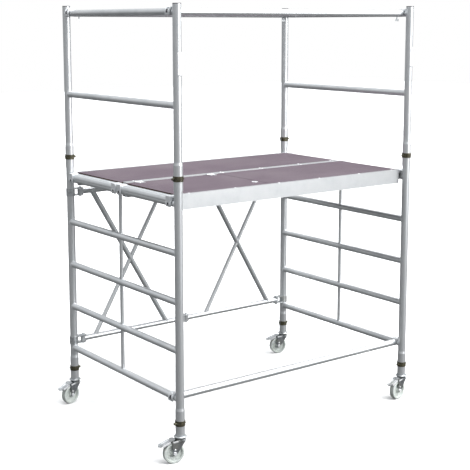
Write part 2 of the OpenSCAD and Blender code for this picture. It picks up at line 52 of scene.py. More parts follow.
caps_lo, caps_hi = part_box("right_post_caps")
POST_R = (caps_hi.x - caps_lo.x) / 2
POST_X = caps_hi.x - POST_R
POST_Y = caps_hi.y - POST_R

rungs_lo, rungs_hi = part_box("right_rungs")
RUNG_R = (rungs_hi.x - rungs_lo.x) / 2
RUNG_COUNT = 5
RUNG_Z = [
    rungs_lo.z + RUNG_R + i * (rungs_hi.z - rungs_lo.z - 2 * RUNG_R) / (RUNG_COUNT - 1)
    for i in range(RUNG_COUNT)
]
guard_lo, guard_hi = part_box("right_guard_rungs")
GUARD_Z = [guard_lo.z + RUNG_R, guard_hi.z - RUNG_R]
stiff_lo, stiff_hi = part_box("right_stiffener")
STIFFENER_R = (stiff_hi.x - stiff_lo.x) / 2

deck_lo, deck_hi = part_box("back_deck_frame")
DECK_TOP, NOSE_END = deck_hi.z, deck_hi.x
DECK_IN, DECK_OUT = deck_lo.y, deck_hi.y
board_lo, board_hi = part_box("back_deck_board")
SEAT_Z, BOARD_TOP, BOARD_END = board_lo.z, board_hi.z, board_hi.x


# ------------------------------------------------------------------ mesh helpers

def finish_mesh(bm, name, material, body, smooth_angle=35):
    """Turns a bmesh into a piece that rides on a body and takes its finish from a slot."""
    bmesh.ops.recalc_face_normals(bm, faces=bm.faces)
    mesh = bpy.data.meshes.new(name)
    bm.to_mesh(mesh)
    bm.free()
    piece = bpy.data.objects.new(name, mesh)
    bpy.context.scene.collection.objects.link(piece)
    piece.data.materials.append(material)
    shade(piece, smooth_angle)
    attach(piece, body)
    return piece


def shade(piece, smooth_angle):
    """Smooth shading with sharp edges past an angle, in degrees."""
    for polygon in piece.data.polygons:
        polygon.use_smooth = True
    piece.data.set_sharp_from_angle(angle=math.radians(smooth_angle))


def side_vectors(axis):
    """Two unit vectors across an axis."""
    axis = Vector(axis).normalized()
    across = axis.orthogonal().normalized()
    return across, axis.cross(across)


def lathe(bm, origin, axis, profile, segments):
    """Solid of revolution. The profile holds (distance along the axis, radius).

    It starts and ends at radius 0.
    """
    axis = Vector(axis).normalized()
    u, v = side_vectors(axis)
    rings = []
    for along, radius in profile:
        centre = Vector(origin) + axis * along
        if radius == 0:
            rings.append([bm.verts.new(centre)])
            continue
        turns = (2 * math.pi * i / segments for i in range(segments))
        rings.append([bm.verts.new(centre + (u * math.cos(t) + v * math.sin(t)) * radius) for t in turns])
    for low, high in zip(rings, rings[1:]):
        for i in range(segments):
            j = (i + 1) % segments
            corners = [low[i % len(low)], low[j % len(low)], high[j % len(high)], high[i % len(high)]]
            corners = list(dict.fromkeys(corners))
            if len(corners) > 2:
                bm.faces.new(corners)


def rivet(bm, origin, axis, radius, height):
    """Blind rivet: a thin flange with a dome and a dimple."""
    lathe(bm, origin, axis, [
        (-0.5 * MM, 0), (-0.5 * MM, radius), (0.25 * height, radius), (0.55 * height, 0.85 * radius),
        (0.9 * height, 0.55 * radius), (height, 0.3 * radius),
        (0.75 * height, 0.2 * radius), (0.7 * height, 0),
    ], 14)


def ring_sweep(bm, points, normals, radii, segments=6):
    """Closed round bead along a closed line of points."""
    count = len(points)
    rings = []
    for i in range(count):
        tangent = (points[(i + 1) % count] - points[i - 1]).normalized()
        out = (normals[i] - tangent * normals[i].dot(tangent)).normalized()
        across = tangent.cross(out)
        turns = (2 * math.pi * k / segments for k in range(segments))
        rings.append([
            bm.verts.new(points[i] + (out * math.cos(t) + across * math.sin(t)) * radii[i]) for t in turns
        ])
    for i in range(count):
        low, high = rings[i], rings[(i + 1) % count]
        for k in range(segments):
            bm.faces.new([low[k], low[(k + 1) % segments], high[(k + 1) % segments], high[k]])


def weld_bead(bm, centre, direction, radius, host_axis, host_radius, bead=2.3 * MM, steps=56):
    """Rippled weld where a round tube that leaves centre along direction meets a round host tube."""
    centre, d, w = Vector(centre), Vector(direction).normalized(), Vector(host_axis).normalized()
    e1, e2 = side_vectors(d)
    points, normals, radii = [], [], []
    ripples = 22
    for i in range(steps):
        t = 2 * math.pi * i / steps
        branch_out = e1 * math.cos(t) + e2 * math.sin(t)
        q = branch_out * radius
        qp, dp = q - w * q.dot(w), d - w * d.dot(w)
        a, b, c = dp.dot(dp), 2 * qp.dot(dp), qp.dot(qp) - host_radius ** 2
        along = (-b + math.sqrt(max(0, b * b - 4 * a * c))) / (2 * a)
        local = q + d * along
        host_out = (local - w * local.dot(w)).normalized()
        points.append(centre + local)
        normals.append(branch_out + host_out)
        radii.append(bead * (0.88 + 0.16 * abs(math.sin(ripples * t / 2))))
    ring_sweep(bm, points, normals, radii)


def block(bm, low, high, bevel, segments):
    """Box between two corners, with rounded edges."""
    made = bmesh.ops.create_cube(bm, size=1)
    size = Vector(high) - Vector(low)
    middle = (Vector(high) + Vector(low)) / 2
    grow = Matrix.Translation(middle) @ Matrix.Diagonal((*size, 1))
    bmesh.ops.transform(bm, verts=made["verts"], matrix=grow)
    edges = list({e for v in made["verts"] for e in v.link_edges})
    bmesh.ops.bevel(bm, geom=edges, offset=bevel, segments=segments, affect="EDGES", profile=0.5)


def extrude_along_y(bm, outline, y0, y1):
    """Solid bar along Y with an outline of (x, z) points."""
    ends = [[bm.verts.new((x, y, z)) for x, z in outline] for y in (y0, y1)]
    count = len(outline)
    for i in range(count):
        j = (i + 1) % count
        bm.faces.new([ends[0][i], ends[0][j], ends[1][j], ends[1][i]])
    bm.faces.new(ends[0])
    bm.faces.new(ends[1])


def strip_sweep(bm, points, ups, width, height, bevel):
    """Flat bar along points. Width lies across each up vector, height along it.

    The bevel is a share of half the width and of half the height.
    """
    rings = []
    outline = [(-1, -1 + bevel), (-1 + bevel, -1), (1 - bevel, -1), (1, -1 + bevel),
               (1, 1 - bevel), (1 - bevel, 1), (-1 + bevel, 1), (-1, 1 - bevel)]
    for i, point in enumerate(points):
        ahead = points[min(i + 1, len(points) - 1)] - points[max(i - 1, 0)]
        up = Vector(ups[i]).normalized()
        across = ahead.cross(up).normalized()
        rings.append([
            bm.verts.new(point + across * a * width / 2 + up * b * height / 2) for a, b in outline
        ])
    for low, high in zip(rings, rings[1:]):
        for k in range(len(outline)):
            j = (k + 1) % len(outline)
            bm.faces.new([low[k], low[j], high[j], high[k]])
    bm.faces.new(rings[0])
    bm.faces.new(rings[-1])


# ------------------------------------------------------------------ material helpers

class Shader:
    """One material with a Principled shader, and short calls that add nodes to it."""

    def __init__(self, name, **values):
        self.material = bpy.data.materials.new(name)
        self.material.use_nodes = True
        self.tree = self.material.node_tree
        self.bsdf = self.tree.nodes["Principled BSDF"]
        self.place = self.add("ShaderNodeTexCoord").outputs["Object"]
        self.set(self.bsdf, values)

    def feed(self, socket, value):
        """Links another socket to a socket, or sets a constant."""
        if isinstance(value, bpy.types.NodeSocket):
            self.tree.links.new(value, socket)
        else:
            socket.default_value = value

    def set(self, node, values):
        """Feeds a node's sockets by name."""
        for name, value in values.items():
            self.feed(node.inputs[name], value)

    def add(self, kind, values=None, **settings):
        """Adds a node with its settings and socket values."""
        node = self.tree.nodes.new(kind)
        for name, value in settings.items():
            setattr(node, name, value)
        self.set(node, values or {})
        return node

    def stretched(self, scale):
        """The object's own coordinates, scaled by axis."""
        return self.add("ShaderNodeMapping", {"Vector": self.place, "Scale": scale}).outputs["Vector"]

    def noise(self, scale, detail, roughness=0.55, vector=None, distortion=0.0):
        """Noise from 0 to 1, in the object's own coordinates unless a vector is given."""
        values = {"Vector": vector or self.place, "Scale": scale, "Detail": detail,
                  "Roughness": roughness, "Distortion": distortion}
        return self.add("ShaderNodeTexNoise", values).outputs["Fac"]

    def cells(self, scale, feature="F1", output="Distance"):
        """Cell pattern, as distance to a cell or another output."""
        values = {"Vector": self.place, "Scale": scale}
        return self.add("ShaderNodeTexVoronoi", values, feature=feature).outputs[output]

    def span(self, value, low, high, new_low=0.0, new_high=1.0):
        """Maps a range of a value to another range, clamped."""
        values = {"Value": value, "From Min": low, "From Max": high, "To Min": new_low, "To Max": new_high}
        return self.add("ShaderNodeMapRange", values).outputs["Result"]

    def maths(self, operation, a, b=0.0):
        """One operation on one or two values."""
        node = self.add("ShaderNodeMath", operation=operation)
        for socket, value in zip(node.inputs, (a, b)):
            self.feed(socket, value)
        return node.outputs["Value"]

    def ramp(self, value, stops):
        """Colour ramp with (position, (r, g, b)) stops."""
        node = self.add("ShaderNodeValToRGB", {"Fac": value})
        elements = node.color_ramp.elements
        while len(elements) < len(stops):
            elements.new(0.5)
        for element, (position, colour) in zip(elements, stops):
            element.position = position
            element.color = (*colour, 1)
        return node.outputs["Color"]

    def mix(self, factor, a, b):
        """Colour between a and b. The numbered sockets are a colour mix's factor, A, B and result."""
        node = self.add("ShaderNodeMix", data_type="RGBA", blend_type="MIX")
        for index, value in ((0, factor), (6, a), (7, b)):
            self.feed(node.inputs[index], (*value, 1) if isinstance(value, tuple) else value)
        return node.outputs[2]

    def bump(self, height, distance, strength, under=None):
        """Normal from a height, on top of another normal if one is given."""
        values = {"Height": height, "Distance": distance, "Strength": strength}
        if under is not None:
            values["Normal"] = under
        return self.add("ShaderNodeBump", values).outputs["Normal"]

    def part(self, vector, axis):
        """One component of a vector."""
        return self.add("ShaderNodeSeparateXYZ", {"Vector": vector}).outputs[axis]

    def finish(self, **links):
        """Links colour, roughness and normal to the shader and returns the material."""
        names = {"colour": "Base Color", "roughness": "Roughness", "normal": "Normal"}
        self.set(self.bsdf, {names[k]: v for k, v in links.items()})
        return self.material


def aluminium(name, along, light=1.0, roughness=0.36):
    """Drawn aluminium: lengthways draw lines, cloudy oxide, and a few handling scratches across them."""
    s = Shader(name, **{"Metallic": 0.82, "IOR": 1.45, "Specular IOR Level": 0.5})
    lines = [6.0 if i == along else 420.0 for i in range(3)]
    draw = s.noise(1.0, 4.0, 0.65, s.stretched(lines))
    cloud = s.noise(7.0, 5.0, 0.6)
    fine = s.noise(160.0, 2.0, 0.5)
    across = [260.0 if i == along else 22.0 for i in range(3)]
    scratch = s.span(s.noise(1.0, 3.0, 0.7, s.stretched(across), 0.6), 0.67, 0.74)
    patches = s.span(s.noise(9.0, 2.0), 0.48, 0.6)
    scratch = s.maths("MULTIPLY", scratch, patches)
    # The light factor scales this copy's colour; the deck ends' copy at 1.2 is brightened as painted light.
    base = s.ramp(cloud, [
        (0.3, (0.66 * light, 0.685 * light, 0.70 * light)),
        (0.5, (0.74 * light, 0.76 * light, 0.775 * light)),
        (0.72, (0.80 * light, 0.81 * light, 0.82 * light)),
    ])
    base = s.mix(s.maths("MULTIPLY", scratch, 0.35), base, (0.86, 0.87, 0.88))
    base = s.mix(s.span(draw, 0.3, 0.7, 0.0, 0.10), base, (0.5, 0.52, 0.54))
    rough = s.maths("ADD", s.span(cloud, 0.3, 0.75, roughness + 0.06, roughness - 0.05),
                    s.span(draw, 0.3, 0.7, -0.05, 0.05))
    rough = s.maths("SUBTRACT", rough, s.maths("MULTIPLY", scratch, 0.1))
    normal = s.bump(fine, 0.05 * MM, 0.4)
    normal = s.bump(draw, 0.12 * MM, 0.5, normal)
    normal = s.bump(scratch, 0.1 * MM, 0.4, normal)
    return s.finish(colour=base, roughness=rough, normal=normal)


def cast_aluminium(name):
    """Cast claws: grainy skin, brighter on the rubbed high spots."""
    s = Shader(name, **{"Metallic": 0.55})
    grain = s.noise(420.0, 4.0, 0.6)
    cloud = s.noise(22.0, 4.0, 0.6)
    pits = s.span(s.cells(240.0), 0.0, 0.16, 1.0, 0.0)
    base = s.ramp(cloud, [
        (0.32, (0.66, 0.68, 0.70)), (0.5, (0.80, 0.82, 0.84)), (0.7, (0.92, 0.93, 0.94)),
    ])
    base = s.mix(s.maths("MULTIPLY", pits, 0.25), base, (0.3, 0.31, 0.32))
    rough = s.span(cloud, 0.3, 0.7, 0.52, 0.34)
    normal = s.bump(grain, 0.22 * MM, 0.6)
    normal = s.bump(s.maths("SUBTRACT", 1.0, pits), 0.12 * MM, 0.5, normal)
    return s.finish(colour=base, roughness=rough, normal=normal)


def zinc(name, dark=(0.36, 0.38, 0.40), light=(0.66, 0.68, 0.69), roughness=0.34, metal=0.88):
    """Zinc plate: crystal-like patches, a faint yellow passivation and dull fingerprints."""
    s = Shader(name, **{"Metallic": metal})
    patch = s.cells(90.0, "F1", "Color")
    spangle = s.part(patch, 0)
    cloud = s.noise(30.0, 5.0, 0.6)
    tone = s.maths("ADD", s.maths("MULTIPLY", spangle, 0.3), s.maths("MULTIPLY", cloud, 0.7))
    middle = tuple((a + b) / 2 for a, b in zip(dark, light))
    base = s.ramp(tone, [(0.25, dark), (0.5, middle), (0.72, light)])
    tint = s.span(s.noise(14.0, 2.0), 0.5, 0.7, 0.0, 0.18)
    base = s.mix(tint, base, (0.62, 0.58, 0.44))
    rough = s.span(cloud, 0.3, 0.7, roughness + 0.1, roughness - 0.06)
    normal = s.bump(s.noise(600.0, 3.0), 0.05 * MM, 0.5)
    return s.finish(colour=base, roughness=rough, normal=normal)


def olive_steel(name):
    """Olive passivated spring steel, mottled from brown to green and rubbed bright in spots."""
    s = Shader(name, **{"Metallic": 0.55})
    cloud = s.noise(55.0, 5.0, 0.65)
    base = s.ramp(cloud, [
        (0.3, (0.035, 0.030, 0.020)), (0.5, (0.075, 0.070, 0.045)), (0.7, (0.15, 0.14, 0.09)),
    ])
    rub = s.span(s.noise(120.0, 3.0), 0.62, 0.72, 0.0, 0.35)
    base = s.mix(rub, base, (0.42, 0.40, 0.34))
    rough = s.span(cloud, 0.3, 0.7, 0.5, 0.36)
    return s.finish(colour=base, roughness=rough, normal=s.bump(s.noise(500.0, 3.0), 0.08 * MM, 0.5))


def nylon(name):
    """Pale grey-green moulded nylon: faint flow marks, slight translucency and grey floor dust."""
    s = Shader(name, **{"Subsurface Weight": 0.18, "Subsurface Radius": (0.006, 0.006, 0.005),
                        "Subsurface Scale": 1.0, "Coat Weight": 0.1, "Coat Roughness": 0.3})
    flow = s.noise(26.0, 4.0, 0.55, distortion=1.2)
    base = s.ramp(flow, [
        (0.3, (0.44, 0.475, 0.455)), (0.5, (0.52, 0.555, 0.53)), (0.7, (0.60, 0.63, 0.605)),
    ])
    dust = s.span(s.noise(70.0, 6.0, 0.7), 0.52, 0.72, 0.0, 0.28)
    base = s.mix(dust, base, (0.34, 0.35, 0.33))
    rough = s.span(flow, 0.3, 0.7, 0.48, 0.34)
    return s.finish(colour=base, roughness=rough, normal=s.bump(s.noise(380.0, 3.0), 0.06 * MM, 0.5))


WIRE_PITCH = 3.2 * MM
PLY_LAYER = 2.4 * MM


def plywood(name):
    """Film-faced birch ply: mauve-grey film with a fine wire pattern, and dark brown layered edges."""
    s = Shader(name, **{"Coat Weight": 0.03, "Coat Roughness": 0.6, "Specular IOR Level": 0.22})
    x = s.part(s.place, 0)
    y = s.part(s.place, 1)
    z = s.part(s.place, 2)
    wire_turn = math.pi / WIRE_PITCH
    wires = [
        s.maths("ABSOLUTE", s.maths("SINE", s.maths("MULTIPLY", s.maths(way, x, y), wire_turn)))
        for way in ("ADD", "SUBTRACT")
    ]
    wire = s.maths("MINIMUM", *wires)
    groove = s.span(wire, 0.0, 0.35)
    cloud = s.noise(3.2, 6.0, 0.6, distortion=0.4)
    streak = s.noise(1.0, 4.0, 0.6, s.stretched((3.0, 46.0, 3.0)))
    fleck = s.noise(210.0, 4.0, 0.7)
    film = s.ramp(cloud, [
        (0.28, (0.086, 0.060, 0.080)), (0.46, (0.106, 0.078, 0.099)),
        (0.58, (0.122, 0.094, 0.114)), (0.75, (0.142, 0.116, 0.132)),
    ])
    film = s.mix(s.span(streak, 0.35, 0.68, 0.0, 0.30), film, (0.158, 0.134, 0.149))
    film = s.mix(s.span(fleck, 0.55, 0.75, 0.0, 0.25), film, (0.070, 0.050, 0.063))
    scuff_lines = s.noise(1.0, 3.0, 0.7, s.stretched((9.0, 150.0, 9.0)), 1.0)
    scuff = s.maths("MULTIPLY", s.span(scuff_lines, 0.66, 0.73), s.span(s.noise(4.0, 2.0), 0.5, 0.62))
    film = s.mix(s.maths("MULTIPLY", scuff, 0.4), film, (0.27, 0.25, 0.26))
    # Painted shade: the pressed grooves of the wire pattern are darkened.
    film = s.mix(s.span(groove, 0.0, 1.0, 0.2, 0.0), film, (0.045, 0.035, 0.042))
    layer = s.maths("SINE", s.maths("MULTIPLY", z, 2 * math.pi / PLY_LAYER))
    layer = s.maths("ADD", layer, s.span(s.noise(90.0, 4.0), 0.3, 0.7, -0.5, 0.5))
    edge = s.ramp(s.span(layer, -1.2, 1.2), [
        (0.2, (0.020, 0.010, 0.008)), (0.55, (0.045, 0.024, 0.018)), (0.85, (0.085, 0.050, 0.036)),
    ])
    facing = s.maths("ABSOLUTE", s.part(s.add("ShaderNodeNewGeometry").outputs["Normal"], 2))
    on_face = s.span(facing, 0.45, 0.55)
    base = s.mix(on_face, edge, film)
    rough = s.maths("ADD", s.span(cloud, 0.3, 0.7, 0.56, 0.68), s.maths("MULTIPLY", scuff, 0.15))
    normal = s.bump(fleck, 0.05 * MM, 0.5)
    normal = s.bump(s.maths("MULTIPLY", groove, on_face), 0.16 * MM, 0.7, normal)
    return s.finish(colour=base, roughness=rough, normal=normal)


def dark_plastic(name):
    """Dark purple-black moulded plastic with a fine leather grain and chalky edges."""
    s = Shader(name, **{"Specular IOR Level": 0.45})
    cloud = s.noise(40.0, 4.0, 0.6)
    base = s.ramp(cloud, [
        (0.3, (0.016, 0.012, 0.018)), (0.55, (0.032, 0.026, 0.036)), (0.8, (0.075, 0.066, 0.078)),
    ])
    rough = s.span(cloud, 0.3, 0.7, 0.62, 0.48)
    return s.finish(colour=base, roughness=rough, normal=s.bump(s.cells(520.0), 0.12 * MM, 0.6))


def label_paper(name):
    """Blank white vinyl label, slightly yellowed, with softly rubbed patches."""
    s = Shader(name, **{"Coat Weight": 0.25, "Coat Roughness": 0.25})
    cloud = s.noise(30.0, 4.0, 0.6)
    base = s.ramp(cloud, [
        (0.3, (0.72, 0.73, 0.76)), (0.55, (0.80, 0.81, 0.83)), (0.8, (0.86, 0.86, 0.85)),
    ])
    rub = s.span(s.noise(65.0, 3.0), 0.58, 0.7, 0.0, 0.3)
    base = s.mix(rub, base, (0.50, 0.51, 0.56))
    return s.finish(colour=base, roughness=s.span(cloud, 0.3, 0.7, 0.5, 0.34),
                    normal=s.bump(s.noise(200.0, 2.0), 0.06 * MM, 0.4))


def floor_paint(name):
    """Pale studio floor with a very slight mottling."""
    s = Shader(name, **{"Specular IOR Level": 0.15})
    cloud = s.noise(1.5, 4.0, 0.5)
    base = s.ramp(cloud, [(0.3, (0.88, 0.88, 0.88)), (0.7, (0.91, 0.91, 0.91))])
    return s.finish(colour=base, roughness=s.span(cloud, 0.3, 0.7, 0.8, 0.9))


MATERIALS = {
    "tube_x": aluminium("aluminium_along_x", 0),
    "tube_y": aluminium("aluminium_along_y", 1),
    "tube_z": aluminium("aluminium_along_z", 2, 0.95),
    "brace": aluminium("aluminium_brace", 2, 0.85, 0.42),
    "deck": aluminium("aluminium_deck", 0, 0.72, 0.44),
    # Painted light: the copy for the deck ends is brightened 1.2 times.
    "deck_ends_painted_bright": aluminium("aluminium_deck_ends_painted_bright", 1, 1.20, 0.36),
    "cast": cast_aluminium("cast_claws"),
    "weld": cast_aluminium("weld_metal"),
    "zinc": zinc("zinc_plate"),
    # Bright zinc is real on rivets, washers, axles and the latch; on the fork bands and pedal edges it is
    # painted highlight.
    "bright_zinc_and_painted_highlight": zinc("bright_zinc_and_painted_highlight", (0.70, 0.72, 0.74), (0.93, 0.94, 0.95), 0.30, 0.45),
    "fork": zinc("fork_zinc", (0.17, 0.18, 0.19), (0.30, 0.315, 0.33), 0.40),
    "olive": olive_steel("olive_steel"),
    "nylon": nylon("white_nylon"),
    "plywood": plywood("film_faced_plywood"),
    # Dark plastic is real on the post caps; the dark strips in the claws and on the latch are painted shade.
    "plastic": dark_plastic("dark_plastic"),
    "label": label_paper("blank_label"),
}


def dress_cad_nodes():
    """Gives each CAD node its material by its name."""
    by_word = [
        ("guard_rungs", "tube_y"), ("rungs", "tube_y"), ("stiffener", "tube_z"), ("post_caps", "plastic"),
        ("lock_bands", "olive"), ("lock_pin", "olive"), ("castor_stems", "zinc"), ("hinge_brackets", "zinc"),
        ("posts", "tube_z"), ("screws", "zinc"), ("guardrail", "tube_x"), ("front_rail", "tube_x"),
        ("leaf", "brace"), ("centre_bolts", "zinc"), ("deck_frame", "deck"), ("claws", "cast"),
        ("board", "plywood"), ("hatch_hinges", "zinc"), ("hatch_latch", "bright_zinc_and_painted_highlight"), ("fork", "fork"),
        ("axle", "bright_zinc_and_painted_highlight"), ("wheel", "nylon"), ("pedal", "zinc"),
    ]
    for name, piece in frame["nodes"].items():
        key = next(key for word, key in by_word if word in name)
        piece.data.materials.clear()
        piece.data.materials.append(MATERIALS[key])
        shade(piece, 30)


# ------------------------------------------------------------------ welds

GATE_TUBE_R = 18 * MM
DIAGONAL_R = 17 * MM
CROSS_R = 14 * MM
# Where the diagonals of a leaf cross, and how far they reach to each side of it
CROSS_X = 450 * MM
CROSS_HALF = 285 * MM
# Smoothing angle of the welds, in degrees
WELD_SMOOTH = 80


def frame_welds():
    """Beads where rungs meet posts and where the stiffener meets the rungs."""
    for side_name, side in SIDES.items():
        x = side * POST_X
        bm = bmesh.new()
        for z in RUNG_Z + GUARD_Z:
            for row in (-1, 1):
                weld_bead(bm, (x, row * POST_Y, z), (0, -row, 0), RUNG_R, UP, POST_R)
        for low, high in zip(RUNG_Z, RUNG_Z[1:]):
            for z, way in ((low, 1), (high, -1)):
                weld_bead(bm, (x, 0, z), (0, 0, way), STIFFENER_R, (0, 1, 0), RUNG_R, 1.6 * MM, 40)
        body = side_name + "_frame"
        finish_mesh(bm, body + "_welds", MATERIALS["weld"], body, WELD_SMOOTH)


def gate_welds():
    """Beads at the ends of the diagonals of each leaf and at their crossing."""
    low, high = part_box("gate_right_leaf")
    z0, z1 = low.z + GATE_TUBE_R, high.z - GATE_TUBE_R
    middle = (z0 + z1) / 2
    rise = (z1 - z0) / 2
    for name, side in SIDES.items():
        x = side * CROSS_X
        through, cut = Vector((-CROSS_HALF, 0, rise)), Vector((CROSS_HALF, 0, rise))
        centre = Vector((x, POST_Y, middle))
        bm = bmesh.new()
        for way in (-1, 1):
            for line, radius in ((through, DIAGONAL_R), (cut, CROSS_R)):
                weld_bead(bm, centre + line * way, -line * way, radius, (1, 0, 0), GATE_TUBE_R, 1.9 * MM, 48)
            weld_bead(bm, centre, cut * way, CROSS_R, through, DIAGONAL_R, 1.7 * MM, 44)
        body = "gate_%s_leaf" % name
        finish_mesh(bm, "gate_%s_welds" % name, MATERIALS["weld"], body, WELD_SMOOTH)


# ------------------------------------------------------------------ deck ends, rims and hatch

DECKS = {"back_deck": 1, "front_deck": -1}
DECK_RUNG_Z = RUNG_Z[-1]
CLAW_R, CLAW_W, CLAW_INSET = 31 * MM, 42 * MM, 29 * MM
CLAW_Y = [DECK_IN + CLAW_INSET, DECK_OUT - CLAW_INSET]
# Millimetres from the board's end and from the nose's end, each with the height over the boards' seat
LEDGE = [
    (2, -0.5), (3, 2.6), (8, 2.6), (9, 0.7), (15, 0.7), (16, 2.2),
    (19, 2.2), (20, 0.7), (27, 0.6), (28, 1.9), (31, 1.7), (32, 0.2),
]
LIP = [
    (2, -0.8), (5, -3.5), (7, -8), (6.2, -8.8), (8.2, -14), (9, -20), (8.6, -27),
    (7.4, -29), (6, -27), (6, -19), (4.6, -12), (2, -7), (0.2, -5), (0.1, -0.5),
]
# Rivets along the rims of the decks: distance from each side, and places along X
RIVET_INSET = 11 * MM
RIM_Y = [DECK_IN + RIVET_INSET, DECK_OUT - RIVET_INSET]
RIVET_X = [x * MM for x in (-790, -465, -140, 179, 511, 800)]
# The rails: tube and claws, and a button on the front rail
RAIL_R = 21 * MM
RAIL_CLAW_R, RAIL_CLAW_W = 30 * MM, 44 * MM
# Angles on a claw, in degrees above outward
DECK_CLAW_SPAN = (-38, 76)
RAIL_CLAW_SPAN = (-28, 88)
SLOT_TOP, SLOT_RUN, BOLT_ANGLE = 30, 44, 52
RAIL_BUTTON_X = -128 * MM
# The hatch: its hinges, with their holes in millimetres from the hinge line, and its latch
HINGE_HALF = 24 * MM
LEAF_T = 2 * MM
KNUCKLE_R = 3.4 * MM
LEAF_HOLES = [(-16, 18), (0, 14), (16, 18), (-9, 34), (9, 34)]
BEZEL_R = 17 * MM
RECESS_R = 8.6 * MM
RECESS_HALF_TURN = 62


def nose_trims():
    """Ridged extrusion on each end of a deck: three ribs on the ledge and a lip round the rung."""
    outline = [(BOARD_END + x * MM, SEAT_Z + z * MM) for x, z in LEDGE]
    outline += [(NOSE_END + x * MM, SEAT_Z + z * MM) for x, z in LIP]
    reach = CLAW_W / 2 + 1 * MM
    for deck, way in DECKS.items():
        bm = bmesh.new()
        y0, y1 = way * (CLAW_Y[0] + reach), way * (CLAW_Y[1] - reach)
        for side in (-1, 1):
            extrude_along_y(bm, [(side * x, z) for x, z in outline], y0, y1)
        # The nose trims take the brightened copy of the aluminium: painted light.
        finish_mesh(bm, deck + "_nose_trims", MATERIALS["deck_ends_painted_bright"], deck, 28)


def claw_details(bm, slot_shades, centre, side, radius, width, low_angle, high_angle):
    """Ribs along both edges of a claw, a bolt head, and a framed slot in the middle, drawn as a dark strip
    of painted shade.

    Angles are in degrees above outward.
    """
    centre = Vector(centre)

    def at(angle, r, y):
        t = math.radians(angle)
        return centre + Vector((side * math.cos(t) * r, y, math.sin(t) * r))

    def rib(mesh, angles, lift, y, wide, high, bevel):
        points = [at(a, radius + lift, y) for a in angles]
        strip_sweep(mesh, points, [p - at(0, 0, y) for p in points], wide, high, bevel)

    steps, slot_steps = 14, 8
    edge = [low_angle + (high_angle - low_angle) * i / steps for i in range(steps + 1)]
    slot = [SLOT_TOP - SLOT_RUN * i / slot_steps for i in range(slot_steps + 1)]
    edge_y = width / 2 - 2.5 * MM
    frame_y = width * 0.215
    for y in (-edge_y, edge_y):
        rib(bm, edge, 0.6 * MM, y, 4.2 * MM, 3 * MM, 0.35)
    head = at(BOLT_ANGLE, radius - 0.4 * MM, 0)
    lathe(bm, head, head - centre, [
        (0, 0), (0, 7 * MM), (1.4 * MM, 7 * MM), (1.4 * MM, 5 * MM),
        (4.4 * MM, 4.9 * MM), (5 * MM, 4 * MM), (5 * MM, 0),
    ], 6)
    # Painted shade: a dark plastic strip stands in for the shadowed hollow of the slot.
    rib(slot_shades, slot, -0.1 * MM, 0, width * 0.36, 1.1 * MM, 0.6)
    for y in (-frame_y, frame_y):
        rib(bm, slot, 0.5 * MM, y, 2.2 * MM, 2.2 * MM, 0.35)


def deck_claws():
    """Ribs, bolts and dark slot strips of painted shade on the four claws of each deck."""
    for deck, way in DECKS.items():
        bm, slot_shades = bmesh.new(), bmesh.new()
        for side in (-1, 1):
            for y in CLAW_Y:
                centre = (side * POST_X, way * y, DECK_RUNG_Z)
                claw_details(bm, slot_shades, centre, side, CLAW_R, CLAW_W, *DECK_CLAW_SPAN)
        finish_mesh(bm, deck + "_claw_ribs", MATERIALS["cast"], deck)
        # The dark strips are painted shade in the claw slots.
        finish_mesh(slot_shades, deck + "_claw_slot_shades", MATERIALS["plastic"], deck)


def rail_claws():
    """The same details on the smaller claws of the rails, and the button of the front rail."""
    for rail in ("front_rail", "front_guardrail", "back_guardrail"):
        low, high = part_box(rail)
        y = (low.y + high.y) / 2
        z = RUNG_Z[0] if rail == "front_rail" else GUARD_Z[1]
        bm, slot_shades = bmesh.new(), bmesh.new()
        for side in (-1, 1):
            centre = (side * POST_X, y, z)
            claw_details(bm, slot_shades, centre, side, RAIL_CLAW_R, RAIL_CLAW_W, *RAIL_CLAW_SPAN)
        if rail == "front_rail":
            out = Vector((0, -0.5, 0.87)).normalized()
            rivet(bm, Vector((RAIL_BUTTON_X, y, z)) + out * RAIL_R, out, 6 * MM, 3 * MM)
        finish_mesh(bm, rail + "_claw_ribs", MATERIALS["cast"], rail)
        # The dark strips are painted shade in the claw slots.
        finish_mesh(slot_shades, rail + "_claw_slot_shades", MATERIALS["plastic"], rail)


def rim_rivets():
    """Rivets along both rims of each deck."""
    for deck, way in DECKS.items():
        bm = bmesh.new()
        for y in RIM_Y:
            for x in RIVET_X:
                rivet(bm, (x, way * y, DECK_TOP), UP, 6.5 * MM, 3.2 * MM)
        finish_mesh(bm, deck + "_rim_rivets", MATERIALS["bright_zinc_and_painted_highlight"], deck)


